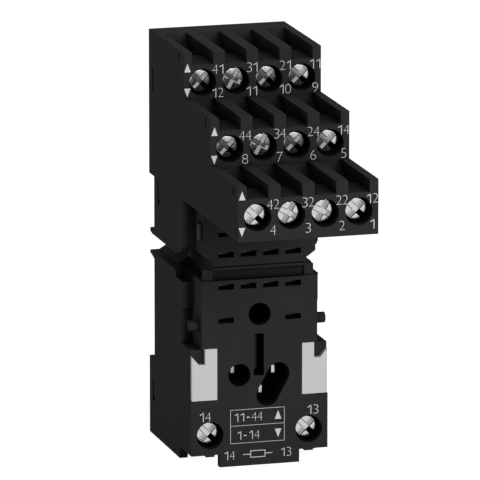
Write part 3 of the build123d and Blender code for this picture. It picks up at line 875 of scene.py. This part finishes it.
# %% [markdown]
# Printing
#
# The numbers beside the screws are pad-printed in light ink, a hundredth of a millimetre
# proud of the moulding. Every mark starts as a flat mesh that is measured before it is
# placed, so that the printed height is the real one. A ray sent back from the front
# then finds the face that carries it, which is safer than typing each depth.

# %% Place a mark
housing = nodes["housing"]
ink_thickness = 0.00001
far_in_front = -0.2


def extent(mesh, axis):
    values = [corner.co[axis] for corner in mesh.vertices]
    return min(values), max(values)


def face_at(x, z):
    hit, point = housing.ray_cast(Vector((x, far_in_front, z)), Vector((0, 1, 0)))[:2]
    return point.y if hit else None


def printed(name, mesh, x, z, height=None, width=None):
    left, right = extent(mesh, 0)
    foot, top = extent(mesh, 1)
    grow_y = height / (top - foot) if height else 1
    grow_x = width / (right - left) if width else grow_y
    mesh.transform(Matrix.Translation((-(left + right) / 2, -(foot + top) / 2, 0)))
    mesh.transform(Matrix.Diagonal((grow_x, grow_y, 1, 1)))
    mesh.transform(Matrix.Rotation(math.pi / 2, 4, "X"))
    mesh.transform(Matrix.Translation((x, face_at(x, z) - ink_thickness, z)))
    mark = placed(name, mesh, print_ink)
    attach(mark, "socket")


# %% [markdown]
# Strokes, frames and arrows
#
# The simplest marks are thin lines, a frame round two rows, and small solid triangles.
# A grid of one face makes a line, the same grid with its middle inset and taken out
# makes a frame, and a circle of three corners is a triangle.

# %% Strokes, frames and arrows
def flat_face(wide, high):
    bm = bmesh.new()
    bmesh.ops.create_grid(bm, x_segments=1, y_segments=1, size=0.5)
    bmesh.ops.scale(bm, vec=(wide, high, 1), verts=bm.verts)
    return bm


def stroke(wide, high):
    return new_mesh("stroke", flat_face(wide, high))


def outline(wide, high, line):
    bm = flat_face(wide, high)
    faces = bm.faces[:]
    inset = bmesh.ops.inset_region(bm, faces=faces, thickness=line, use_boundary=True, use_even_offset=True)
    middle = [face for face in bm.faces if face not in inset["faces"]]
    bmesh.ops.delete(bm, geom=middle, context="FACES")
    return new_mesh("outline", bm)


def triangle(points_down=False):
    bm = bmesh.new()
    bmesh.ops.create_circle(bm, cap_ends=True, radius=1, segments=3)
    half_turn = Matrix.Rotation(math.pi if points_down else 0, 3, "Z")
    bmesh.ops.rotate(bm, verts=bm.verts, matrix=half_turn)
    return new_mesh("arrow", bm)


# %% [markdown]
# Digits
#
# A text object gives well-shaped digits, and a negative offset thins them as the print
# is. The printed 1 is only a stem with a slanting flag, unlike the font's, so that digit
# is made of two strokes. Every digit is brought to one height and a set width, because
# the print spaces them evenly, and a row is then joined into one mesh.

# %% A digit from text
thinner = -0.028


def text_digit(figure):
    curve = bpy.data.curves.new("digit", "FONT")
    curve.body = figure
    curve.offset = thinner
    writer = into_scene("digit", curve)
    mesh = evaluated_mesh(writer)
    bpy.data.objects.remove(writer)
    return mesh


# %% The digit one
# Sizes and places are shares of the digit's height.
stem_size = (0.075, 1, 1)
stem_middle = (0.38, 0.5, 0)
flag_size = (0.40, 0.085, 1)
flag_middle = (0.235, 0.845, 0)
flag_slope = math.radians(33)


def flagged_one():
    bm = bmesh.new()
    stem = bmesh.ops.create_grid(bm, x_segments=1, y_segments=1, size=0.5)["verts"]
    bmesh.ops.scale(bm, vec=stem_size, verts=stem)
    bmesh.ops.translate(bm, verts=stem, vec=stem_middle)
    flag = bmesh.ops.create_grid(bm, x_segments=1, y_segments=1, size=0.5)["verts"]
    bmesh.ops.scale(bm, vec=flag_size, verts=flag)
    bmesh.ops.rotate(bm, verts=flag, matrix=Matrix.Rotation(flag_slope, 3, "Z"))
    bmesh.ops.translate(bm, verts=flag, vec=flag_middle)
    return new_mesh("one", bm)


# %% A row of digits
step_to_next = 0.68
usual_width = 0.60
width_of = {"1": 0.44, "-": 0.34}
dash_height = 0.4
dash_thickness = 0.11


def sized(mesh, left, width, height, foot=0.0):
    start, end = extent(mesh, 0)
    low, high = extent(mesh, 1)
    mesh.transform(Matrix.Translation((-start, -low, 0)))
    mesh.transform(Matrix.Diagonal((width / (end - start), height / (high - low), 1, 1)))
    mesh.transform(Matrix.Translation((left, foot, 0)))
    return mesh


def digits(text):
    bm = bmesh.new()
    for number, figure in enumerate(text):
        wide = width_of.get(figure, usual_width)
        left = number * step_to_next + (usual_width - wide) / 2
        if figure == "-":
            mesh = sized(stroke(1, 1), left, wide, dash_thickness, dash_height)
        elif figure == "1":
            mesh = sized(flagged_one(), left, wide, 1)
        else:
            mesh = sized(text_digit(figure), left, wide, 1)
        bm.from_mesh(mesh)
    return new_mesh("digits", bm)


# %% [markdown]
# Numbers of the terminals
#
# Each tier has a number above and a number below every screw, and at its left end an
# arrow for each row. The rows don't stand at the same height in every tier, so each
# keeps its own measured one, and one loop over tiers and columns prints them all.

# %% Numbers of the terminals
# Each tier: upper numbers and their z, lower numbers and their z, z of both arrows.
tier_rows = (
    (("41", "31", "21", "11"), 0.04238, ("12", "11", "10", "9"), 0.03782, 0.04291, 0.03810),
    (("44", "34", "24", "14"), 0.03340, ("8", "7", "6", "5"), 0.02893, 0.03449, 0.02903),
    (("42", "32", "22", "12"), 0.02425, ("4", "3", "2", "1"), 0.01940, 0.02620, 0.01930),
)
column_x = (-0.0068, -0.0001, 0.00645, 0.01235)
digit_height = 0.00183
arrow_size = {"height": 0.00168, "width": 0.00124}
for tier, (uppers, upper_z, lowers, lower_z, up_z, down_z) in enumerate(tier_rows):
    for column, x in enumerate(column_x):
        printed(f"print_upper_{tier}_{column}", digits(uppers[column]), x, upper_z, digit_height)
        printed(f"print_lower_{tier}_{column}", digits(lowers[column]), x, lower_z, digit_height)
    printed(f"print_up_{tier}", triangle(), -0.01273, up_z, **arrow_size)
    printed(f"print_down_{tier}", triangle(points_down=True), -0.01278, down_z, **arrow_size)
print("tier prints:", len(tier_rows) * 2 * (len(column_x) + 1))

# %% [markdown]
# Coil row and legend
#
# Beside the two lowest screws stand the coil's numbers, and again on the tab below, with
# the plain symbol of a coil between them. A framed box in the middle says which numbers
# belong to which arrow. These marks repeat little, so a short table lists the numbers.

# %% Small numbers
# Each mark: name, text, x, z, height.
small_numbers = (
    ("print_coil_left", "14", -0.01073, -0.02385, 0.0018),
    ("print_coil_right", "13", 0.01056, -0.02374, 0.0018),
    ("print_tab_left", "14", -0.00595, -0.0317, 0.0017),
    ("print_tab_right", "13", 0.00525, -0.0317, 0.0017),
    ("print_legend_11", "11-44", -0.0022, -0.02435, 0.0017),
    ("print_legend_14", "1-14", -0.0022, -0.0279, 0.0017),
)
for name, text, x, z, height in small_numbers:
    printed(name, digits(text), x, z, height)
print("small numbers:", len(small_numbers))

# %% Legend box and coil symbol
legend_x = -0.000425
thin_line = 0.00008
tab_z = -0.0317
tab_line = 0.00014
legend_arrow = {"height": 0.0017, "width": 0.0013}
printed("print_legend_frame", outline(0.01073, 0.00662, thin_line), legend_x, -0.02614)
printed("print_legend_line", stroke(0.01055, thin_line), legend_x, -0.0260)
printed("print_legend_up", triangle(), 0.00365, -0.0243, **legend_arrow)
printed("print_legend_down", triangle(points_down=True), 0.00366, -0.0279, **legend_arrow)
printed("print_coil_body", outline(0.0030, 0.0014, tab_line), -0.00035, tab_z)
printed("print_coil_lead_left", stroke(0.0014, tab_line), -0.00255, tab_z)
printed("print_coil_lead_right", stroke(0.0014, tab_line), 0.00185, tab_z)

# %% [markdown]
# Sizes
#
# The box of everything that is shown is measured and printed, to set beside the CAD box
# printed at the start.

# %% Sizes
low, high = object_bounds()
print("visual box in mm:", [round(v * 1000, 2) for v in (*low, *high)])
